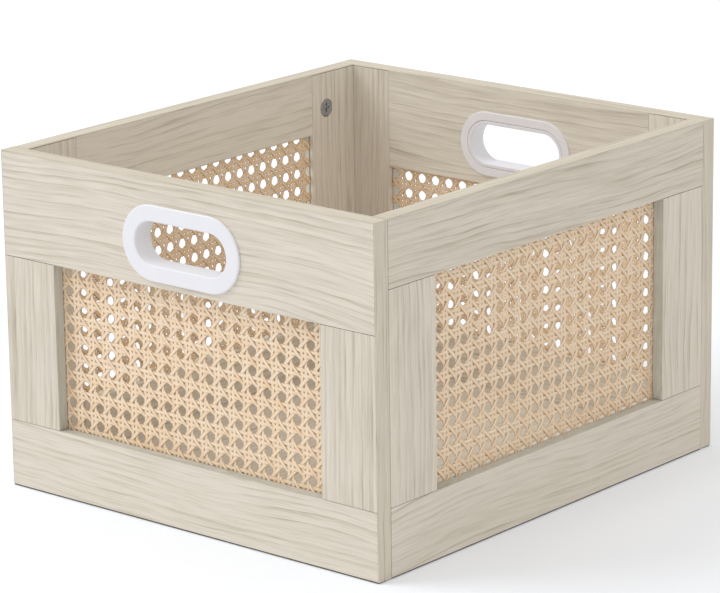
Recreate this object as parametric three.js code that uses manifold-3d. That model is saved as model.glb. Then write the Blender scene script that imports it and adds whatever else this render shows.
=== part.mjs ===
// Open-topped record crate: four lapped board frames filled with woven cane, a base board
// housed in a groove, and a moulded hand grip through each end.
// Millimetres. +X runs along the front, +Y to the back, +Z up. The origin is on the floor,
// under the middle of the crate. Each frame is drawn lying along X with its outer face at
// Y = 0 and its inner face at Y = frameThickness, and is then turned into its place.
import * as THREE from 'three';
import { mergeVertices } from 'three/addons/utils/BufferGeometryUtils.js';
import Module from 'manifold-3d';

const wasm = await Module();
wasm.setup();

// The crate over all
const crateWidth = 360;
const crateDepth = 400;
const crateHeight = 260;

// Frame boards: rails run through in the outer layer, stiles run through in the inner one
const outerLayer = 9;
const innerLayer = 5;
const stileWidth = 51;
const sideTopRail = 50;
const endTopRail = 80;
const bottomRail = 52;

// Edging strip over the top edges, and down the upright edges of the two ends, where it is
// trimmed back from the floor
const bandThickness = 1;
const bandRound = 0.8;
const bandLift = 1;

// Cane webbing, laid over the back of the outer layer, in a rebate of the inner one
const caneThickness = 1.5;
const caneSeat = 8;
const caneFreeEdge = 0.5;
const caneGap = 13.6;
const canePitch = 25.5;
const caneMargin = 6;

// Base board, housed in a groove round the inner faces
const baseThickness = 6;
const baseLift = 6;
const grooveDepth = 4;

// Hand grip: a bezel from outside and a liner pressed in from inside, round a long hole
const gripStraight = 56;
const gripInnerRadius = 16;
const gripWall = 2.8;
const gripRim = 12.5;
const gripProud = 2;
const gripDrop = 47;
const gripShoulder = 6;
const lipRound = 1.6;
const linerRim = 6.9;
const linerFlange = 1.2;
const linerRound = 0.6;
const linerSpigot = 6;
const spigotWall = 2.1;

// Corner fittings, hidden in the thickness of the frames: a cam on its bolt, and a dowel
const camInset = 30;
const camRadius = 7.2;
const camDepth = 12.2;
const camFromEnd = 34;
const driveSpan = 8;
const driveWidth = 1.6;
const driveDepth = 1.5;
const threadRadius = 3;
const threadLength = 10.7;
const shankRadius = 2.5;
const neckRadius = 1.8;
const neckLength = 4.5;
const headRadius = 3.1;
const headLength = 3.2;
const dowelHeight = 90;
const dowelRadius = 4;
const dowelInEnd = 9.5;
const dowelInSide = 18.5;
const dowelChamfer = 1;

// Gap between pieces that slide or press into each other, how far a cutter overshoots, and
// how near two corners lie that count as one
const fitGap = 0.3;
const overshoot = 1;
const weldDistance = 1e-4;

// Flat sides of the small round pieces, and steps in the rounded shapes
const boreSides = 8;
const camSides = 16;
const caneGapSides = 8;
const gripEndSteps = 10;
const lipSteps = 3;
const bandSteps = 2;

// Worked out from the sizes above
const frameThickness = outerLayer + innerLayer;
const sideLength = crateDepth - 2 * frameThickness;
const boardTop = crateHeight - bandThickness;
const baseTop = baseLift + baseThickness;
const camHeight = crateHeight - camInset;
const gripHeight = crateHeight - gripDrop;
const sleeveRadius = gripInnerRadius + gripWall;
const linerHoleRadius = sleeveRadius + fitGap;
const spigotRadius = linerHoleRadius + spigotWall;
const cutoutRadius = spigotRadius + fitGap;

const boardFinish = finish('#ddd6c8', 0.62, 0);
const bandFinish = finish('#d9d1c2', 0.6, 0);
const baseFinish = finish('#d6cebf', 0.65, 0);
const caneFinish = finish('#e6c79c', 0.55, 0);
const gripFinish = finish('#eff1f4', 0.28, 0);
const zincFinish = finish('#a9adb1', 0.4, 1);
const steelFinish = finish('#c2c5c8', 0.3, 1);
const dowelFinish = finish('#d7b98c', 0.7, 0);

function finish(color, roughness, metalness) {
  return new THREE.MeshStandardMaterial({ color, roughness, metalness, flatShading: true });
}

function piece(name, geometry, material) {
  const mesh = new THREE.Mesh(geometry, material);
  mesh.name = name;
  return mesh;
}

// Solids: closed meshes to cut and join, and back

function solidOf(geometry) {
  const bare = geometry.clone();
  bare.deleteAttribute('normal');
  bare.deleteAttribute('uv');
  const closed = mergeVertices(bare, weldDistance);
  return new wasm.Manifold(new wasm.Mesh({
    numProp: 3,
    vertProperties: new Float32Array(closed.attributes.position.array),
    triVerts: new Uint32Array(closed.index.array),
  }));
}

function geometryOf(solid) {
  const mesh = solid.getMesh();
  const geometry = new THREE.BufferGeometry();
  geometry.setAttribute('position', new THREE.BufferAttribute(mesh.vertProperties, 3));
  geometry.setIndex(new THREE.BufferAttribute(mesh.triVerts, 1));
  return geometry;
}

function joined(geometries) {
  return geometries.map(solidOf).reduce((whole, next) => whole.add(next));
}

// A box from its lowest corner to its highest
function block(low, high) {
  const geometry = new THREE.BoxGeometry(2, 2, 2);
  const corners = geometry.attributes.position;
  for (let i = 0; i < corners.count; i += 1) {
    const corner = [corners.getX(i), corners.getY(i), corners.getZ(i)];
    corners.setXYZ(i, ...corner.map((side, axis) => (side < 0 ? low[axis] : high[axis])));
  }
  return geometry;
}

// Round bars that start at a point and run a signed length along Y or along X
function barAlongY(radius, start, length, sides = boreSides) {
  const bar = new THREE.CylinderGeometry(radius, radius, Math.abs(length), sides);
  return bar.translate(start[0], start[1] + length / 2, start[2]);
}

function barAlongX(radius, start, length, sides = boreSides) {
  const bar = new THREE.CylinderGeometry(radius, radius, Math.abs(length), sides);
  return bar.rotateZ(Math.PI / 2).translate(start[0] + length / 2, start[1], start[2]);
}

// Skin over a row of like sections, closed on itself or capped at both ends
function skin(sections, isRing) {
  const count = sections[0].length;
  const last = sections.length - 1;
  const index = [];
  for (let s = 0; s < sections.length - (isRing ? 0 : 1); s += 1) {
    const here = s * count;
    const there = ((s + 1) % sections.length) * count;
    for (let p = 0; p < count; p += 1) {
      const next = (p + 1) % count;
      index.push(here + p, here + next, there + next);
      index.push(here + p, there + next, there + p);
    }
  }
  for (let p = 1; p < count - 1 && !isRing; p += 1) {
    index.push(0, p + 1, p);
    index.push(last * count, last * count + p, last * count + p + 1);
  }
  const geometry = new THREE.BufferGeometry();
  geometry.setAttribute('position', new THREE.Float32BufferAttribute(sections.flat(2), 3));
  geometry.setIndex(index);
  return geometry;
}

// Points on an arc, in degrees
function arc(centreU, centreV, radius, from, to, steps) {
  const points = [];
  for (let step = 0; step <= steps; step += 1) {
    const angle = THREE.MathUtils.degToRad(from + (to - from) * step / steps);
    points.push([centreU + radius * Math.cos(angle), centreV + radius * Math.sin(angle)]);
  }
  return points;
}

// Hand grip

// A profile of [distance from the spine, depth along Y] swept round the long hole
function gripRing(profile) {
  const sections = [];
  for (const end of [1, -1]) {
    for (const [outX, outZ] of arc(0, 0, 1, -end * 90, 180 - end * 90, gripEndSteps)) {
      sections.push(profile.map(([radius, y]) => (
        [end * gripStraight / 2 + radius * outX, y, gripHeight + radius * outZ]
      )));
    }
  }
  return skin(sections, true);
}

function gripBezel(name) {
  const rimRadius = gripInnerRadius + gripRim;
  const lipY = lipRound - gripProud;
  const end = frameThickness + linerFlange;
  return piece(name, gripRing([
    [gripInnerRadius, end],
    ...arc(gripInnerRadius + lipRound, lipY, lipRound, 180, 270, lipSteps),
    ...arc(rimRadius - lipRound, lipY, lipRound, 270, 360, lipSteps),
    [rimRadius, 0],
    [spigotRadius, 0],
    [spigotRadius, gripShoulder],
    [sleeveRadius, gripShoulder],
    [sleeveRadius, end],
  ]), gripFinish);
}

function gripLiner(name) {
  const rimRadius = linerHoleRadius + linerRim;
  const face = frameThickness + linerFlange;
  return piece(name, gripRing([
    [linerHoleRadius, face],
    [linerHoleRadius, frameThickness - linerSpigot],
    [spigotRadius, frameThickness - linerSpigot],
    [spigotRadius, frameThickness],
    [rimRadius, frameThickness],
    [rimRadius, face - linerRound],
    [rimRadius - linerRound, face],
  ]), gripFinish);
}

function gripCutout() {
  const half = gripStraight / 2;
  const outline = new THREE.Shape();
  outline.absarc(half, 0, cutoutRadius, -Math.PI / 2, Math.PI / 2);
  outline.absarc(-half, 0, cutoutRadius, Math.PI / 2, 1.5 * Math.PI);
  const depth = frameThickness + 2 * overshoot;
  const cutter = new THREE.ExtrudeGeometry(outline, {
    depth,
    bevelEnabled: false,
    curveSegments: gripEndSteps,
  });
  return cutter.rotateX(Math.PI / 2).translate(0, depth - overshoot, gripHeight);
}

// Edging: a flat strip with two eased edges, laid along [x, z, outward x, outward z] stations
function edging(name, stations) {
  const ease = bandThickness - bandRound;
  const section = [
    [0, 0],
    [frameThickness, 0],
    ...arc(frameThickness - bandRound, ease, bandRound, 0, 90, bandSteps),
    ...arc(bandRound, ease, bandRound, 90, 180, bandSteps),
  ];
  const sections = stations.map(([x, z, outX, outZ]) => (
    section.map(([y, height]) => [x + height * outX, y, z + height * outZ])
  ));
  return piece(name, skin(sections, false), bandFinish);
}

// Cane webbing: a sheet with rows of open gaps, centred on its opening

function gapCount(opening) {
  return Math.max(1, 1 + Math.floor((opening - caneGap - caneMargin) / canePitch));
}

function gapOutline(x, z) {
  const halfTurn = 180 / caneGapSides;
  const corner = caneGap / 2 / Math.cos(THREE.MathUtils.degToRad(halfTurn));
  const points = arc(x, z, corner, halfTurn, 360 - halfTurn, caneGapSides - 1);
  return new THREE.Path(points.map(([u, v]) => new THREE.Vector2(u, v)));
}

function caneSheet(name, halfOpening, openLow, openHigh) {
  const reach = caneSeat - caneFreeEdge;
  const edgeX = halfOpening + reach;
  const sheet = new THREE.Shape([
    new THREE.Vector2(-edgeX, openLow - reach),
    new THREE.Vector2(edgeX, openLow - reach),
    new THREE.Vector2(edgeX, openHigh + reach),
    new THREE.Vector2(-edgeX, openHigh + reach),
  ]);
  const columns = gapCount(2 * halfOpening);
  const rows = gapCount(openHigh - openLow);
  for (let column = 0; column < columns; column += 1) {
    for (let row = 0; row < rows; row += 1) {
      const x = (column - (columns - 1) / 2) * canePitch;
      const z = (openLow + openHigh) / 2 + (row - (rows - 1) / 2) * canePitch;
      sheet.holes.push(gapOutline(x, z));
    }
  }
  const flat = new THREE.ExtrudeGeometry(sheet, { depth: caneThickness, bevelEnabled: false });
  return piece(name, flat.rotateX(Math.PI / 2).translate(0, outerLayer + caneThickness, 0), caneFinish);
}

// What is machined out of a glued-up frame

// Groove for the base board, as long as the board is where it runs past this frame
function baseGroove(halfLength) {
  return block(
    [-halfLength, frameThickness - grooveDepth, baseLift],
    [halfLength, frameThickness + overshoot, baseTop + fitGap],
  );
}

function endMachining() {
  const cutters = [gripCutout(), baseGroove(crateWidth / 2 - frameThickness + grooveDepth)];
  const innerFace = frameThickness + overshoot;
  for (const side of [-1, 1]) {
    const x = side * (crateWidth - frameThickness) / 2;
    const threadBore = threadLength + fitGap + overshoot;
    const dowelBore = dowelInEnd + fitGap + overshoot;
    cutters.push(barAlongY(threadRadius + fitGap, [x, innerFace, camHeight], -threadBore));
    cutters.push(barAlongY(dowelRadius + fitGap, [x, innerFace, dowelHeight], -dowelBore));
  }
  return joined(cutters);
}

function sideMachining() {
  const cutters = [baseGroove(sideLength / 2 + overshoot)];
  const middle = frameThickness / 2;
  for (const end of [-1, 1]) {
    const face = end * (sideLength / 2 + overshoot);
    const camX = end * (sideLength / 2 - camFromEnd);
    const camMouth = [camX, frameThickness + overshoot, camHeight];
    const camPocket = camDepth + fitGap + overshoot;
    const dowelBore = dowelInSide + fitGap + overshoot;
    cutters.push(barAlongY(camRadius + fitGap, camMouth, -camPocket, camSides));
    cutters.push(barAlongX(headRadius + fitGap, [face, middle, camHeight], camX - face));
    cutters.push(barAlongX(dowelRadius + fitGap, [face, middle, dowelHeight], -end * dowelBore));
  }
  return joined(cutters);
}

// One frame: two layers of boards lapped at the corners, with the webbing between them.
// bandedEnds is the edging's thickness on the upright edges, or 0 where they are covered.
function frame(wall, length, topRail, bandedEnds, machining) {
  const group = new THREE.Group();
  const half = length / 2 - bandedEnds;
  const open = length / 2 - stileWidth;
  const openTop = crateHeight - topRail;
  const rebate = solidOf(block(
    [-open - caneSeat, outerLayer, bottomRail - caneSeat],
    [open + caneSeat, outerLayer + caneThickness, openTop + caneSeat],
  ));
  const innerMachining = machining.add(rebate);
  const outer = (name, left, right, low, high) => {
    const board = solidOf(block([left, 0, low], [right, outerLayer, high]));
    const cut = geometryOf(board.subtract(machining));
    group.add(piece(`${wall}_outer_${name}`, cut, boardFinish));
  };
  const inner = (name, left, right, low, high) => {
    const board = solidOf(block([left, outerLayer, low], [right, frameThickness, high]));
    const cut = geometryOf(board.subtract(innerMachining));
    group.add(piece(`${wall}_inner_${name}`, cut, boardFinish));
  };
  outer('top_rail', -half, half, openTop, boardTop);
  outer('bottom_rail', -half, half, 0, bottomRail);
  outer('stile_a', -half, -open, bottomRail, openTop);
  outer('stile_b', open, half, bottomRail, openTop);
  inner('stile_a', -half, -open, 0, boardTop);
  inner('stile_b', open, half, 0, boardTop);
  inner('top_rail', -open, open, openTop, boardTop);
  inner('bottom_rail', -open, open, 0, bottomRail);
  group.add(caneSheet(`${wall}_cane_webbing`, open, bottomRail, openTop));
  return group;
}

// An end covers the ends of both sides, so its edging also runs down its upright edges
function endFrame(wall) {
  const group = frame(wall, crateWidth, endTopRail, bandThickness, endMachining());
  const edgeX = crateWidth / 2 - bandThickness;
  group.add(edging(`${wall}_edge_band`, [
    [-edgeX, bandLift, -1, 0],
    [-edgeX, boardTop, -1, 1],
    [edgeX, boardTop, 1, 1],
    [edgeX, bandLift, 1, 0],
  ]));
  group.add(gripBezel(`${wall}_grip_bezel`));
  group.add(gripLiner(`${wall}_grip_liner`));
  return group;
}

function sideFrame(wall) {
  const group = frame(wall, sideLength, sideTopRail, 0, sideMachining());
  group.add(edging(`${wall}_edge_band`, [
    [-sideLength / 2, boardTop, 0, 1],
    [sideLength / 2, boardTop, 0, 1],
  ]));
  return group;
}

function baseBoard() {
  const reach = grooveDepth - fitGap - frameThickness;
  const halfX = crateWidth / 2 + reach;
  const halfY = crateDepth / 2 + reach;
  const board = block([-halfX, -halfY, baseLift], [halfX, halfY, baseTop]);
  return piece('base_board', board, baseFinish);
}

// Corner fittings, drawn from the joint between an end and a side, in the middle of the
// frame's thickness: +X points into the crate and +Y runs along the side

function camGeometry() {
  const half = headRadius + fitGap;
  const innerFace = frameThickness / 2;
  const drum = barAlongX(camRadius, [innerFace, camFromEnd, 0], -camDepth, camSides);
  const throat = block(
    [-half, camFromEnd - camRadius - overshoot, -half],
    [half, camFromEnd + half, half],
  );
  const slots = [[driveSpan, driveWidth], [driveWidth, driveSpan]].map(([long, tall]) => block(
    [innerFace - driveDepth, camFromEnd - long / 2, -tall / 2],
    [innerFace + overshoot, camFromEnd + long / 2, tall / 2],
  ));
  return geometryOf(solidOf(drum).subtract(joined([throat, ...slots])));
}

function turned(profile) {
  const points = profile.map(([radius, along]) => new THREE.Vector2(radius, along));
  return new THREE.LatheGeometry(points, boreSides);
}

function boltGeometry() {
  const headStart = camFromEnd - headLength / 2;
  return turned([
    [0, -threadLength],
    [threadRadius, -threadLength],
    [threadRadius, 0],
    [shankRadius, 0],
    [shankRadius, headStart - neckLength],
    [neckRadius, headStart - neckLength],
    [neckRadius, headStart],
    [headRadius, headStart],
    [headRadius, headStart + headLength],
    [0, headStart + headLength],
  ]);
}

function dowelGeometry() {
  return turned([
    [0, -dowelInEnd],
    [dowelRadius - dowelChamfer, -dowelInEnd],
    [dowelRadius, -dowelInEnd + dowelChamfer],
    [dowelRadius, dowelInSide - dowelChamfer],
    [dowelRadius - dowelChamfer, dowelInSide],
    [0, dowelInSide],
  ]);
}

function fitting(name, geometry, material, side, end, height) {
  const mesh = piece(name, geometry, material);
  mesh.position.set(side * (crateWidth - frameThickness) / 2, end * sideLength / 2, height);
  mesh.rotation.set(end > 0 ? Math.PI : 0, side > 0 ? Math.PI : 0, 0);
  return mesh;
}

const crate = new THREE.Group();

const front = endFrame('front');
front.position.y = -crateDepth / 2;

const back = endFrame('back');
back.position.y = crateDepth / 2;
back.rotation.z = Math.PI;

const left = sideFrame('left');
left.position.x = -crateWidth / 2;
left.rotation.z = -Math.PI / 2;

const right = sideFrame('right');
right.position.x = crateWidth / 2;
right.rotation.z = Math.PI / 2;

crate.add(front, back, left, right, baseBoard());

const cam = camGeometry();
const bolt = boltGeometry();
const dowel = dowelGeometry();
for (const [sideName, side] of [['left', -1], ['right', 1]]) {
  for (const [endName, end] of [['front', -1], ['back', 1]]) {
    const corner = `${endName}_${sideName}`;
    crate.add(fitting(`cam_${corner}`, cam, zincFinish, side, end, camHeight));
    crate.add(fitting(`cam_bolt_${corner}`, bolt, steelFinish, side, end, camHeight));
    crate.add(fitting(`dowel_${corner}`, dowel, dowelFinish, side, end, dowelHeight));
  }
}

export default crate;
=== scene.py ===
import math
import random

import bmesh
import bpy
from mathutils import Matrix, Vector


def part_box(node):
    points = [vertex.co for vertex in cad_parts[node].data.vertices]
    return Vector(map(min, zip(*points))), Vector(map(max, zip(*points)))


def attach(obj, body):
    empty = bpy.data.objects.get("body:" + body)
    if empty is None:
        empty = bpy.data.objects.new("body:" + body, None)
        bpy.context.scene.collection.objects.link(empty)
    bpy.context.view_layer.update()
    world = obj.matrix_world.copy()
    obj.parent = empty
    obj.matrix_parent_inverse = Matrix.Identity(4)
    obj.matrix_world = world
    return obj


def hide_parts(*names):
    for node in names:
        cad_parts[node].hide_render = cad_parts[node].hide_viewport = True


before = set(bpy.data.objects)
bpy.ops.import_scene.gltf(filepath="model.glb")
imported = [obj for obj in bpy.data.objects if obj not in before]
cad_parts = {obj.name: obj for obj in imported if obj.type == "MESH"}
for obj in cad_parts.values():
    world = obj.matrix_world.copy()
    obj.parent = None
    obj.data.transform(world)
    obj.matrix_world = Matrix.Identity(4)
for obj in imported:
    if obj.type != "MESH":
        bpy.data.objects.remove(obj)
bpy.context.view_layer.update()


# ------------------------------------------------------------------------------------------
# Frame boards. Thin boards with a pale open-grained wood face on a dull core, lapped in two
# layers and glued up as four frames. The grain runs along each board, the edges are lightly
# sanded and painted greyer round the opening as painted shade in the recess, and a hair gap
# shows where two boards meet. The inner boards are painted paler as painted light, and the
# foot is bare dark core that also serves as painted contact shadow.

MM = 0.001
WALLS = ("front", "back", "left", "right")
BOARDS = ("top_rail", "bottom_rail", "stile_a", "stile_b")
BOARD_EASE = 0.3 * MM
EASE_STEPS = 2
FOOT_EASE = 1.3 * MM
FOOT_EASE_STEPS = 4
# How squarely a face has to look to the foot, or to the end of a board, to be part of it
FOOT_FACING = 0.15
END_FACING = 0.9
SEAM = 0.2 * MM
# Points closer than a weld are one point, a point this near a side lies in it, and faces that
# meet at less than this angle are one flat face
WELD = 0.001 * MM
NEAR = 0.01 * MM
FLAT = math.radians(0.5)
GRAIN_SPACING = 6.4 * MM
GRAIN_WANDER = 32 * MM
GRAIN_RIPPLE = 3.2 * MM
WOOD_GLOSS = 0.2
BOARD_TONE = 0.1


def paint(red, green, blue):
    """A colour given as it looks on screen, 0 to 255, as the linear colour that nodes take."""
    def linear(level):
        share = level / 255
        return share / 12.92 if share <= 0.04045 else ((share + 0.055) / 1.055) ** 2.4
    return (linear(red), linear(green), linear(blue), 1)


class Shade:
    """A value in a material: arithmetic adds its Math nodes, and node() adds any other node."""

    def __init__(self, tree, socket=None):
        self.tree = tree
        self.socket = socket

    def node(self, kind, settings, values, output=None):
        new = self.tree.nodes.new("ShaderNode" + kind)
        for name, setting in settings.items():
            setattr(new, name, setting)
        for name, value in values.items():
            named = [s for s in new.inputs if s.enabled and s.name == name]
            socket = named[0] if named else new.inputs[name]
            if isinstance(value, Shade):
                self.tree.links.new(value.socket, socket)
            else:
                socket.default_value = value
        shown = [s for s in new.outputs if s.enabled and output in (None, s.name)]
        return Shade(self.tree, shown[0] if shown else None)

    def maths(self, operation, *terms, clamped=False):
        settings = {"operation": operation, "use_clamp": clamped}
        return self.node("Math", settings, dict(enumerate(terms)))

    def __add__(self, other):
        return self.maths("ADD", self, other)

    def __sub__(self, other):
        return self.maths("SUBTRACT", self, other)

    def __rsub__(self, other):
        return self.maths("SUBTRACT", other, self)

    def __mul__(self, other):
        return self.maths("MULTIPLY", self, other)

    def __pow__(self, other):
        return self.maths("POWER", self, other)

    __radd__ = __add__
    __rmul__ = __mul__

    def clamped(self):
        return self.maths("ADD", self, 0, clamped=True)

    def noise(self, place, stretch, detail=1):
        """Noise read at a place, stretched to so many features per metre along X, Y and Z."""
        scaled = self.node("VectorMath", {"operation": "MULTIPLY"}, {0: place, 1: stretch})
        return self.node("TexNoise", {}, {"Vector": scaled, "Scale": 1, "Detail": detail})

    def mix(self, share, first, second):
        values = {"Factor": share, "A": first, "B": second}
        return self.node("Mix", {"data_type": "RGBA"}, values)

    def surface(self, values, height=None, depth=0):
        """The finish itself, with a height map of so many metres where one is given."""
        if height is not None:
            bump = self.node("Bump", {}, {"Height": height, "Distance": depth})
            values = {**values, "Normal": bump}
        shader = self.node("BsdfPrincipled", {}, values)
        self.node("OutputMaterial", {}, {"Surface": shader})


def new_finish(name):
    material = bpy.data.materials.new(name)
    material.use_nodes = True
    material.node_tree.nodes.clear()
    return material, Shade(material.node_tree)


def wood_finish(name, pale, streak):
    """Open grain: wandering growth lines that fade in and out, short strokes and fibres."""
    material, wood = new_finish(name)
    straight = wood.node("Attribute", {"attribute_name": "grain"}, {}, "Vector")
    wander = wood.noise(straight, (3.2, 7, 7)) * GRAIN_WANDER
    ripple = wood.noise(straight, (22, 40, 40)) * GRAIN_RIPPLE
    drift = wood.node("CombineXYZ", {}, {"Y": wander + ripple})
    place = wood.node("VectorMath", {"operation": "ADD"}, {0: straight, 1: drift})
    across = wood.node("SeparateXYZ", {}, {"Vector": place}, "Y")
    unevenness = wood.noise(place, (2.5, 75, 75)) * 2.4
    line = wood.maths("FRACT", across * (1 / GRAIN_SPACING) + unevenness) ** 3
    fading = (wood.noise(place, (8, 70, 70)) * 3 - 0.9).clamped()
    stroke = (wood.noise(place, (24, 520, 520), 2) * 3.6 - 1.6).clamped()
    fibre = wood.noise(place, (35, 1300, 1300), 2)
    mottle = wood.noise(place, (6, 50, 50))
    dark = line * fading * fibre + stroke * 0.24 + fibre * 0.55 + mottle * 0.3 - 0.37
    dark = dark + wood.node("Attribute", {"attribute_name": "tone"}, {}, "Fac") * BOARD_TONE
    wood.surface(
        {
            "Base Color": wood.mix(dark.clamped(), pale, streak),
            "Roughness": 0.46 + fibre * 0.16,
            "Specular IOR Level": WOOD_GLOSS,
        },
        height=0 - line * fading * 0.5 - stroke * 0.2 - fibre * 0.5,
        depth=0.12 * MM,
    )
    return material


def merged_copy(node):
    """A CAD board as one clean mesh: its loose triangles merged and its flat sides whole."""
    shape = bmesh.new()
    shape.from_mesh(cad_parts[node].data)
    bmesh.ops.remove_doubles(shape, verts=shape.verts, dist=WELD)
    bmesh.ops.dissolve_limit(shape, angle_limit=FLAT, verts=shape.verts, edges=shape.edges)
    return shape


def reach(shape):
    """The lowest and highest corner of a shape."""
    places = [vert.co for vert in shape.verts]
    return [Vector([pick(p[axis] for p in places) for axis in range(3)]) for pick in (min, max)]


def open_seams(shape, axis):
    """Draws both ends of a board in along an axis, a hair short of what they meet."""
    low, high = reach(shape)
    shares = [1, 1, 1]
    shares[axis] -= 2 * SEAM / (high - low)[axis]
    centred = Matrix.Translation(-(low + high) / 2)
    bmesh.ops.scale(shape, vec=shares, space=centred, verts=shape.verts)


def round_over(shape, edges, width, steps=EASE_STEPS):
    bmesh.ops.bevel(
        shape, geom=edges, offset=width, offset_type="OFFSET", segments=steps, profile=0.5,
        affect="EDGES", material=-1, clamp_overlap=True,
    )


def ease_outer_edges(shape, ease, foot_ease=None):
    """Rounds over the long outer edges, and leaves what is machined into the board sharp."""
    low, high = reach(shape)

    def outer_sides(vert):
        sides = set()
        for axis in range(3):
            for end, corner in enumerate((low, high)):
                if abs(vert.co[axis] - corner[axis]) < NEAR:
                    sides.add((axis, end))
        return sides

    def outer_edges():
        shared = {e: outer_sides(e.verts[0]) & outer_sides(e.verts[1]) for e in shape.edges}
        return {edge: sides for edge, sides in shared.items() if len(sides) >= 2}

    if foot_ease:
        thick = 0 if high.x - low.x < high.y - low.y else 1
        faces = {(thick, 0), (thick, 1)}
        feet = [e for e, sides in outer_edges().items() if (2, 0) in sides and sides & faces]
        round_over(shape, feet, foot_ease, FOOT_EASE_STEPS)
    round_over(shape, list(outer_edges()), ease)


def set_grain(shape, along, across, start):
    """Writes where each point lies in the wood: along the grain, across it and into it."""
    grain = shape.verts.layers.float_vector.new("grain")
    into = along.cross(across)
    for vert in shape.verts:
        lies = (vert.co.dot(along), vert.co.dot(across), vert.co.dot(into))
        vert[grain] = Vector(lies) + start


def set_tone(shape, tone):
    """A board is darker as a whole than the usual one, or lighter: -1 to 1."""
    tones = shape.verts.layers.float.new("tone")
    for vert in shape.verts:
        vert[tones] = tone


def finished(name, shape, material, slot, *nodes):
    """Makes a shape into a piece of the crate that stands for its CAD nodes."""
    mesh = bpy.data.meshes.new(name)
    shape.to_mesh(mesh)
    shape.free()
    mesh.materials.append(material)
    piece = bpy.data.objects.new(name, mesh)
    bpy.context.scene.collection.objects.link(piece)
    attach(piece, "root")
    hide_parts(*nodes)
    return piece


def core_and_foot_shade_finish():
    """The bare core at cut ends, dull fibre; under the foot the dark core is also painted
    contact shadow.
    """
    material, core = new_finish("board_core_and_foot_shade")
    place = core.node("TexCoord", {}, {}, "Object")
    specks = core.noise(place, (900, 900, 900), 3)
    core.surface(
        {
            "Base Color": core.mix(specks, paint(104, 95, 82), paint(72, 65, 55)),
            "Roughness": 0.8 + specks * 0.15,
        },
        height=specks,
        depth=0.1 * MM,
    )
    return material


def finish_sides(piece, material, sides):
    """Another finish for the sides given by a direction and how well a face faces it."""
    piece.data.materials.append(material)
    for face in piece.data.polygons:
        if any(face.normal.dot(side) > facing for side, facing in sides):
            face.material_index = len(piece.data.materials) - 1


board_core_and_foot_shade = core_and_foot_shade_finish()
board_woods = {
    "outer": wood_finish("board_wood", paint(230, 222, 208), paint(176, 163, 142)),
    # Painted light: the inner boards are a paler copy of the same wood, as though light bounced
    # in from inside
    "inner": wood_finish("inner_board_wood_painted_light", paint(235, 229, 218), paint(182, 170, 151)),
}
# Painted shade: the edges round the opening are greyer to stand in for the shade inside the
# recess
reveal_painted_shade_wood = wood_finish("reveal_painted_shade_wood", paint(208, 206, 197), paint(159, 152, 134))
log_places = random.Random(20)
board_tones = random.Random(8393)


def middle(node):
    low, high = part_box(node)
    return (low + high) / 2


def place_in_log():
    """Each board comes from its own part of the log."""
    return Vector([log_places.uniform(0, 40) for _ in range(3)])


for wall in WALLS:
    wall_line = Vector((1, 0, 0)) if wall in ("front", "back") else Vector((0, 1, 0))
    for layer in ("outer", "inner"):
        for board in BOARDS:
            node = f"{wall}_{layer}_{board}"
            shape = merged_copy(node)
            upright = board.startswith("stile")
            along = Vector((0, 0, 1)) if upright else wall_line
            across = wall_line if upright else Vector((0, 0, 1))
            if upright:
                open_seams(shape, 2)
            if wall in ("left", "right"):
                open_seams(shape, 1)
            on_floor = board == "bottom_rail"
            ease_outer_edges(shape, BOARD_EASE, FOOT_EASE if on_floor else None)
            set_grain(shape, along, across, place_in_log())
            set_tone(shape, board_tones.uniform(-1, 1))
            piece = finished(f"{node}_board", shape, board_woods[layer], "boards", node)
            bare_and_foot_shade_sides = []
            if upright or wall in ("front", "back"):
                bare_and_foot_shade_sides += [(along, END_FACING), (-along, END_FACING)]
            # The rounded foot takes the dark core: partly bare core, partly painted contact
            # shadow on the floor line
            if on_floor:
                bare_and_foot_shade_sides.append((Vector((0, 0, -1)), FOOT_FACING))
            finish_sides(piece, board_core_and_foot_shade, bare_and_foot_shade_sides)
            # The reveal round the opening gets the greyer painted shade finish
            if layer == "outer":
                to_opening = middle(f"{wall}_cane_webbing") - middle(node)
                side = across if to_opening.dot(across) > 0 else -across
                finish_sides(piece, reveal_painted_shade_wood, [(side, END_FACING)])


# ------------------------------------------------------------------------------------------
# Edging. A strip a millimetre thick is glued over the top edge of every frame and down the
# upright edges of the two ends, with its grain along it and its corners rounded over.

STRIP_EASE = 0.25 * MM
SQUARE_CORNER = math.radians(60)
edging_wood = wood_finish("edging_wood", paint(223, 214, 198), paint(177, 164, 142))


def set_grain_along_strip(shape, low, high, thickness_axis, start):
    """The grain follows the strip up one side, over the top and down the other."""
    grain = shape.verts.layers.float_vector.new("grain")
    run_axis = 1 - thickness_axis
    half = (high[run_axis] - low[run_axis]) / 2
    for vert in shape.verts:
        sideways = max(-half, min(half, vert.co[run_axis]))
        drop = high.z - vert.co.z
        along = sideways + math.copysign(drop, sideways)
        vert[grain] = Vector((along, vert.co[thickness_axis], 0)) + start


for wall in WALLS:
    node = f"{wall}_edge_band"
    shape = merged_copy(node)
    thickness_axis = 1 if wall in ("front", "back") else 0
    if thickness_axis == 0:
        open_seams(shape, 1)
    square = [edge for edge in shape.edges if edge.calc_face_angle(0) > SQUARE_CORNER]
    round_over(shape, square, STRIP_EASE)
    set_grain_along_strip(shape, *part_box(node), thickness_axis, place_in_log())
    finished(f"{node}_strip", shape, edging_wood, "edging", node)


# ------------------------------------------------------------------------------------------
# Base board. One flat board that lies in the groove round the inside of the four frames, with
# its grain from front to back.

base_wood = wood_finish("base_wood", paint(231, 224, 212), paint(184, 172, 153))
shape = merged_copy("base_board")
ease_outer_edges(shape, BOARD_EASE)
set_grain(shape, Vector((0, 1, 0)), Vector((1, 0, 0)), place_in_log())
finished("base_board_panel", shape, base_wood, "base", "base_board")


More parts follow.
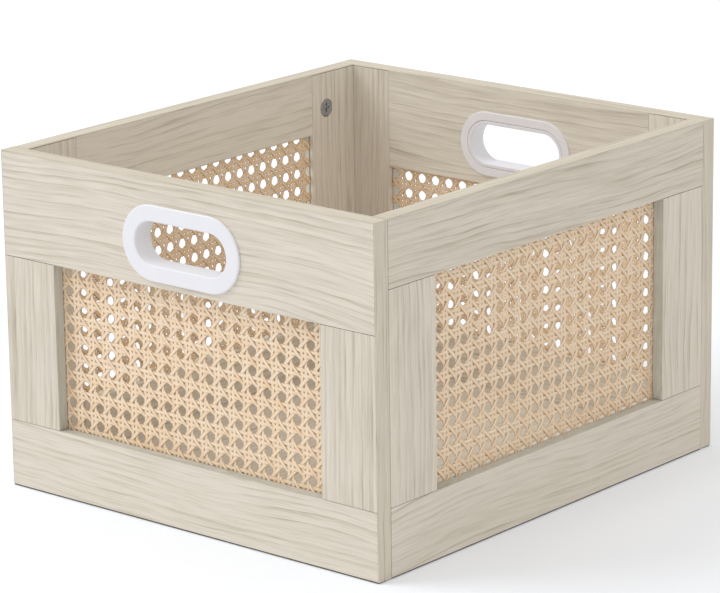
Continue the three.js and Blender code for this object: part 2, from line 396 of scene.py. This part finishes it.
# ------------------------------------------------------------------------------------------
# Cane webbing. Flat strands of rattan cane: pairs run upright and level and pass over and under
# each other, and two slanting strands lock each hole. It is laid in the rebate behind the outer
# boards and trapped by the inner ones.

STRAND_WIDTH = 3 * MM
STRAND_THICKNESS = 0.36 * MM
PAIR_OFFSET = 1.92 * MM
PAIR_LIFT = 0.19 * MM
SLANT_LIFT = 0.41 * MM
STRAND_SIDES = 8
# How far a strand lies flat each side of a crossing, in strand widths, and the share of its run
# where a slant starts to pass through the net
CROSSING_FLAT = 0.36
SLANT_TURN = 0.36
ROW_PITCH = 14.3 * MM
UPRIGHT, LEVEL, RISING, FALLING = range(4)
# The pitch of the hole columns, and where one hole lies along the wall and above the floor
END_NET = {"column_pitch": 13.84 * MM, "hole": (1.46 * MM, 59.3 * MM)}
SIDE_NET = {"column_pitch": 13.69 * MM, "hole": (3.7 * MM, 51.5 * MM)}


def lay_strand(net, kind, start, end, stations):
    """One run of cane from start to end, with its level at shares of the way between."""
    run = Vector((end[0] - start[0], 0, end[1] - start[1]))
    into = Vector((0, 1, 0))
    sideways = into.cross(run.normalized())
    turn = Matrix((sideways, into, run.normalized())).transposed().to_4x4()
    oval = Matrix.Diagonal((STRAND_WIDTH / 2, STRAND_THICKNESS / 2, 1, 1))
    ring = bmesh.ops.create_circle(net, segments=STRAND_SIDES, radius=1)["verts"]
    origin = Vector((start[0], 0, start[1]))
    bmesh.ops.transform(net, matrix=Matrix.Translation(origin) @ turn @ oval, verts=ring)
    laid = [ring]
    for (here, _), (there, _) in zip(stations, stations[1:]):
        ring_edges = [e for e in net.edges if e.verts[0] in ring and e.verts[1] in ring]
        grown = bmesh.ops.extrude_edge_only(net, edges=ring_edges)["geom"]
        ring = [part for part in grown if isinstance(part, bmesh.types.BMVert)]
        bmesh.ops.translate(net, vec=run * (there - here), verts=ring)
        laid.append(ring)
    strand_kind = net.verts.layers.int["strand_kind"]
    edge = net.verts.layers.float["edge"]
    for ring, (_, level) in zip(laid, stations):
        bmesh.ops.translate(net, vec=-into * level, verts=ring)
        for vert in ring:
            vert[strand_kind] = kind
            vert[edge] = abs((vert.co - origin).dot(sideways)) / (STRAND_WIDTH / 2)


def crossing(length, first_level):
    """A straight strand goes over one strand of the crossing pair and under the other."""
    flat = STRAND_WIDTH * CROSSING_FLAT / length
    near, far = 0.5 - PAIR_OFFSET / length, 0.5 + PAIR_OFFSET / length
    return [
        (0, 0),
        (near - flat, first_level),
        (near + flat, first_level),
        (far - flat, -first_level),
        (far + flat, -first_level),
        (1, 0),
    ]


def weave_one_repeat(net, pitch, row):
    """The net from one hole to the next: two pairs that cross, and two slants each way."""
    for side in (-1, 1):
        x = pitch / 2 + side * PAIR_OFFSET
        z = row / 2 + side * PAIR_OFFSET
        lay_strand(net, UPRIGHT, (x, 0), (x, row), crossing(row, side * PAIR_LIFT))
        lay_strand(net, LEVEL, (0, z), (pitch, z), crossing(pitch, side * PAIR_LIFT))
    to_back = [
        (0, SLANT_LIFT),
        (SLANT_TURN, SLANT_LIFT),
        (1 - SLANT_TURN, -SLANT_LIFT),
        (1, -SLANT_LIFT),
    ]
    to_front = [(share, -level) for share, level in to_back]
    low, high = (pitch / 2, 0), (pitch / 2, row)
    left, right = (0, row / 2), (pitch, row / 2)
    lay_strand(net, RISING, low, right, to_back)
    lay_strand(net, RISING, left, high, to_front)
    lay_strand(net, FALLING, left, low, to_back)
    lay_strand(net, FALLING, high, right, to_front)


def repeat_along(net, step, needed):
    """Doubles the net along a step until it is long enough."""
    copies = 1
    while copies * step.length < needed:
        everything = net.verts[:] + net.edges[:] + net.faces[:]
        copy = bmesh.ops.duplicate(net, geom=everything)["geom"]
        moved = [part for part in copy if isinstance(part, bmesh.types.BMVert)]
        bmesh.ops.translate(net, vec=step * copies, verts=moved)
        copies *= 2


def trim(net, corner, outward):
    """Cuts the net off at a plane through a corner, and closes the cut ends of its strands."""
    everything = net.verts[:] + net.edges[:] + net.faces[:]
    bmesh.ops.bisect_plane(
        net, geom=everything, dist=0, plane_co=corner, plane_no=outward, clear_outer=True,
    )
    rims = [edge for edge in net.edges if edge.is_boundary]
    bmesh.ops.holes_fill(net, edges=rims, sides=0)


def set_fibres(net, row, pitch):
    """Writes where each point lies in its strand: along it and across it."""
    fibre = net.verts.layers.float_vector.new("fibre")
    strand_kind = net.verts.layers.int["strand_kind"]
    runs = {
        UPRIGHT: Vector((0, 0, 1)),
        LEVEL: Vector((1, 0, 0)),
        RISING: Vector((pitch, 0, row)).normalized(),
        FALLING: Vector((pitch, 0, -row)).normalized(),
    }
    for vert in net.verts:
        run = runs[vert[strand_kind]]
        across = run.cross(Vector((0, 1, 0)))
        vert[fibre] = (vert.co.dot(run), vert.co.dot(across), float(vert[strand_kind]))


def cane_net(low, high, column_pitch, hole):
    """A net from its lowest corner to its highest, with one of its holes at a given place."""
    net = bmesh.new()
    net.verts.layers.int.new("strand_kind")
    net.verts.layers.float.new("edge")
    weave_one_repeat(net, column_pitch, ROW_PITCH)
    starts = [
        centre - pitch * math.ceil((centre - edge) / pitch + 1)
        for centre, edge, pitch in zip(hole, (low.x, low.z), (column_pitch, ROW_PITCH))
    ]
    bmesh.ops.translate(net, vec=(starts[0], 0, starts[1]), verts=net.verts)
    across, up = Vector((1, 0, 0)), Vector((0, 0, 1))
    for axis, pitch in ((across, column_pitch), (up, ROW_PITCH)):
        repeat_along(net, axis * pitch, (high - low).dot(axis) + 2 * pitch)
    bmesh.ops.remove_doubles(net, verts=net.verts, dist=2 * WELD)
    for axis in (across, up):
        trim(net, low, -axis)
        trim(net, high, axis)
    bmesh.ops.recalc_face_normals(net, faces=net.faces)
    for face in net.faces:
        face.smooth = True
    set_fibres(net, ROW_PITCH, column_pitch)
    return net


def cane_finish():
    """Pale cane rind with fine fibres, a drifting tone, and edges browned as split cane and as
    painted shade.
    """
    material, cane = new_finish("woven_cane")
    edge = cane.node("Attribute", {"attribute_name": "edge"}, {}, "Fac")
    place = cane.node("Attribute", {"attribute_name": "fibre"}, {}, "Vector")
    fibre = cane.noise(place, (60, 3200, 1))
    tone = cane.noise(place, (9, 260, 3), 2)
    warm = cane.noise(place, (25, 300, 3))
    colour = cane.mix((tone * 2.2 - 0.6).clamped(), paint(253, 238, 213), paint(246, 212, 169))
    colour = cane.mix((warm * 2 - 0.75).clamped() * 0.4, colour, paint(252, 216, 198))
    colour = cane.mix((fibre * 1.6 - 0.6).clamped() * 0.45, colour, paint(218, 184, 144))
    # Strand edges are browner as split cane is, and darker still as painted shade in the gaps
    # between strands
    colour = cane.mix(edge ** 5 * 0.75, colour, paint(166, 122, 78))
    cane.surface(
        {"Base Color": colour, "Roughness": 0.36 + fibre * 0.2},
        height=fibre,
        depth=0.05 * MM,
    )
    return material


cane = cane_finish()
for wall in WALLS:
    node = f"{wall}_cane_webbing"
    low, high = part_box(node)
    is_end = wall in ("front", "back")
    half = (high - low)[0 if is_end else 1] / 2
    facing = {"front": 0, "back": math.pi, "left": -math.pi / 2, "right": math.pi / 2}[wall]
    net = cane_net(
        Vector((-half, 0, low.z)), Vector((half, 0, high.z)), **(END_NET if is_end else SIDE_NET)
    )
    in_wall = middle(node) * Vector((1, 1, 0))
    to_wall = Matrix.Translation(in_wall) @ Matrix.Rotation(facing, 4, "Z")
    bmesh.ops.transform(net, matrix=to_wall, verts=net.verts)
    finished(f"{wall}_cane_net", net, cane, "cane", node)


# ------------------------------------------------------------------------------------------
# Hand grips. A white moulded bezel with a rolled lip goes through each end from outside, and a
# liner is pressed over it from inside. Both are smooth plastic, and the mould's halves meet in
# the middle of the wall.

END_FACE = 200 * MM
GRIP_STRAIGHT = 56 * MM
GRIP_HEIGHT = 213 * MM
GRIP_TURN_STEPS = 32
LIP_STEPS = 6
SHARP_CORNER = math.radians(35)
# Corners of each section, in millimetres: how far from the middle of the hole and how deep
# behind the end's face each one is, and how far it is rounded
BEZEL_SECTION = (
    (16, 15.2, 0.4), (16, -2, 1.3), (28.5, -2, 1.4), (28.5, 0, 0.5),
    (21.2, 0, 0), (21.2, 6, 0), (18.8, 6, 0), (18.8, 15.2, 0.4),
)
LINER_SECTION = (
    (19.1, 15.2, 0.4), (19.1, 8, 0), (21.2, 8, 0), (21.2, 14, 0), (26, 14, 0), (26, 15.2, 0.6),
)


def moulded_ring(section):
    """A section carried round the long hole: half a turn at each end, and straight between."""
    ring = bmesh.new()
    half = GRIP_STRAIGHT / 2
    corners = []
    for radius, depth, _ in section:
        corners.append(ring.verts.new((half, depth * MM, GRIP_HEIGHT - radius * MM)))
    for here, there in zip(corners, corners[1:] + corners[:1]):
        ring.edges.new((here, there))
    for corner, (_, _, rounding) in zip(corners, section):
        if rounding:
            bmesh.ops.bevel(
                ring, geom=[corner], offset=rounding * MM, offset_type="OFFSET",
                segments=LIP_STEPS, profile=0.5, affect="VERTICES", material=-1,
            )
    front_edge = ring.verts[:] + ring.edges[:]
    for end in (1, -1):
        turned = bmesh.ops.spin(
            ring, geom=front_edge, cent=(end * half, 0, GRIP_HEIGHT), axis=(0, -1, 0),
            angle=math.pi, steps=GRIP_TURN_STEPS,
        )["geom_last"]
        turned_edges = [part for part in turned if isinstance(part, bmesh.types.BMEdge)]
        front_edge = bmesh.ops.extrude_edge_only(ring, edges=turned_edges)["geom"]
        front_edge = [part for part in front_edge if not isinstance(part, bmesh.types.BMFace)]
        moved = [part for part in front_edge if isinstance(part, bmesh.types.BMVert)]
        bmesh.ops.translate(ring, vec=(-end * GRIP_STRAIGHT, 0, 0), verts=moved)
        front_edge = moved + [
            edge for edge in front_edge
            if isinstance(edge, bmesh.types.BMEdge) and set(edge.verts) <= set(moved)
        ]
    bmesh.ops.remove_doubles(ring, verts=ring.verts, dist=WELD)
    bmesh.ops.recalc_face_normals(ring, faces=ring.faces)
    return ring


def shade_round(shape):
    """Curved walls shade smoothly, up to each real corner."""
    for face in shape.faces:
        face.smooth = True
    for edge in shape.edges:
        edge.smooth = edge.calc_face_angle(0) < SHARP_CORNER


def plastic_finish():
    """Moulded plastic: a faint unevenness from the mould and a fine satin texture."""
    material, plastic = new_finish("grip_plastic")
    place = plastic.node("TexCoord", {}, {}, "Object")
    cooling = plastic.noise(place, (60, 60, 60), 2)
    texture = plastic.noise(place, (1800, 1800, 1800))
    plastic.surface(
        {
            "Base Color": plastic.mix(cooling, paint(241, 240, 245), paint(236, 236, 241)),
            "Roughness": 0.26 + texture * 0.1 + cooling * 0.06,
        },
        height=texture,
        depth=0.01 * MM,
    )
    return material


grip_plastic = plastic_finish()
for wall, facing in (("front", 0), ("back", math.pi)):
    to_wall = Matrix.Rotation(facing, 4, "Z") @ Matrix.Translation((0, -END_FACE, 0))
    for part, section in (("bezel", BEZEL_SECTION), ("liner", LINER_SECTION)):
        ring = moulded_ring(section)
        bmesh.ops.transform(ring, matrix=to_wall, verts=ring.verts)
        shade_round(ring)
        node = f"{wall}_grip_{part}"
        piece = finished(f"{node}_moulding", ring, grip_plastic, "grip", node)
        piece.modifiers.new("even_shading", "WEIGHTED_NORMAL").keep_sharp = True


# ------------------------------------------------------------------------------------------
# Corner fittings. In the thickness of each corner a zinc cam draws a steel bolt, screwed into
# the end, towards the side, and a beech dowel below keeps the two from turning. Only the slotted
# faces of the cams show, on the inside of the sides.

CORNERS = ("front_left", "front_right", "back_left", "back_right")
CAM_EASE = 0.25 * MM


def metal_finish(name, bright, dull, roughness):
    """Bare metal: a cloudy cast or rolled skin with a fine grit."""
    material, metal = new_finish(name)
    place = metal.node("TexCoord", {}, {}, "Object")
    cloud = metal.noise(place, (220, 220, 220), 3)
    grit = metal.noise(place, (2500, 2500, 2500))
    metal.surface(
        {
            "Base Color": metal.mix(cloud, bright, dull),
            "Metallic": 1,
            "Roughness": roughness + cloud * 0.2 + grit * 0.1,
        },
        height=cloud + grit * 0.4,
        depth=0.04 * MM,
    )
    return material


def dowel_finish():
    """Beech: short dark flecks along the pressed flutes of the dowel."""
    material, beech = new_finish("dowel_beech")
    place = beech.node("TexCoord", {}, {}, "Object")
    flecks = beech.noise(place, (900, 120, 900), 2)
    tone = beech.noise(place, (300, 25, 300), 2)
    colour = beech.mix(tone, paint(221, 191, 148), paint(203, 168, 122))
    beech.surface(
        {
            "Base Color": beech.mix((flecks * 2.4 - 1.1).clamped(), colour, paint(168, 128, 84)),
            "Roughness": 0.6 + flecks * 0.2,
        },
        height=flecks,
        depth=0.1 * MM,
    )
    return material


cam_zinc = metal_finish("cam_zinc", paint(186, 190, 194), paint(158, 162, 166), 0.3)
bolt_steel = metal_finish("bolt_steel", paint(205, 207, 209), paint(184, 187, 190), 0.16)
dowel_beech = dowel_finish()
for corner in CORNERS:
    shape = merged_copy(f"cam_{corner}")
    square = [edge for edge in shape.edges if edge.calc_face_angle(0) > SHARP_CORNER]
    round_over(shape, square, CAM_EASE)
    shade_round(shape)
    piece = finished(f"cam_{corner}_drum", shape, cam_zinc, "cam_zinc", f"cam_{corner}")
    piece.modifiers.new("even_shading", "WEIGHTED_NORMAL").keep_sharp = True
    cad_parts[f"cam_bolt_{corner}"].material_slots[0].material = bolt_steel
    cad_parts[f"dowel_{corner}"].material_slots[0].material = dowel_beech


# ------------------------------------------------------------------------------------------
# Studio. A white floor for the crate to stand on, even light from all round with one large lamp
# above the left of the front, and the camera where the photograph was taken from.

LENS = 188.6
CAMERA_PLACE = (1.7770, -2.0930, 0.8978)
CAMERA_TILT, CAMERA_ROLL, CAMERA_TURN = 74.446, 0.785, 40.177

camera_data = bpy.data.cameras.new("camera")
camera_data.lens = LENS
camera_data.clip_end = 50
camera = bpy.data.objects.new("camera", camera_data)
camera.location = CAMERA_PLACE
camera.rotation_euler = [math.radians(a) for a in (CAMERA_TILT, CAMERA_ROLL, CAMERA_TURN)]
bpy.context.scene.collection.objects.link(camera)
bpy.context.scene.camera = camera

FLOOR_SIZE = 12
FLOOR_GLOW = (0.9, 0.96, 1, 1)
# How much whiter than its lit colour the floor looks at half a metre, and in each metre more
FLOOR_LIFT = 0.15
LIFT_DISTANCE = 0.5
LIFT_RISE = 0.08
# The light from all round is a trace warmer than the lamp
SKY_TINT = (1, 0.98, 0.94, 1)
SKY_LIGHT = 0.76
KEY_TINT = (0.93, 0.97, 1)
KEY_PLACE = (-2.2, -1.8, 3)
KEY_AIM = (0, 0, 0.1)
KEY_SIZE = 2.2
KEY_WATTS = 58


def looked_at(shade):
    """1 for what the camera sees, straight or in a reflection, and 0 for light that bounces."""
    rays = [
        shade.node("LightPath", {}, {}, f"Is {kind} Ray")
        for kind in ("Camera", "Glossy", "Transmission")
    ]
    return sum(rays, 0).clamped()


def floor_finish():
    """White, and a little whiter to look at, more so away from the crate: shadows stay."""
    material, floor = new_finish("floor_white")
    place = floor.node("TexCoord", {}, {}, "Object")
    grit = floor.noise(place, (300, 300, 300))
    distance = floor.node("VectorMath", {"operation": "LENGTH"}, {0: place}, "Value")
    lift = (FLOOR_LIFT + (distance - LIFT_DISTANCE) * LIFT_RISE).clamped() * looked_at(floor)
    floor.surface({
        "Base Color": paint(245, 248, 255),
        "Roughness": 0.8 + grit * 0.1,
        "Emission Color": floor.mix(lift, (0, 0, 0, 1), FLOOR_GLOW),
        "Emission Strength": 1,
    })
    return material


shape = bmesh.new()
bmesh.ops.create_grid(shape, x_segments=2, y_segments=2, size=FLOOR_SIZE / 2)
floor_mesh = bpy.data.meshes.new("floor")
shape.to_mesh(floor_mesh)
shape.free()
floor_mesh.materials.append(floor_finish())
floor = bpy.data.objects.new("floor", floor_mesh)
bpy.context.scene.collection.objects.link(floor)

key_data = bpy.data.lights.new("key_lamp", "AREA")
key_data.shape = "SQUARE"
key_data.size = KEY_SIZE
key_data.energy = KEY_WATTS
key_data.color = KEY_TINT
key_lamp = bpy.data.objects.new("key_lamp", key_data)
key_lamp.location = KEY_PLACE
away = Vector(KEY_PLACE) - Vector(KEY_AIM)
key_lamp.rotation_euler = away.to_track_quat("Z", "Y").to_euler()
bpy.context.scene.collection.objects.link(key_lamp)

world = bpy.data.worlds.new("studio")
world.use_nodes = True
world.node_tree.nodes.clear()
sky = Shade(world.node_tree)
seen = looked_at(sky)
tint = sky.mix(seen, SKY_TINT, (1, 1, 1, 1))
strength = SKY_LIGHT + seen * (1 - SKY_LIGHT)
background = sky.node("Background", {}, {"Color": tint, "Strength": strength})
sky.node("OutputWorld", {}, {"Surface": background})
bpy.context.scene.world = world
bpy.context.scene.view_settings.view_transform = "Standard"
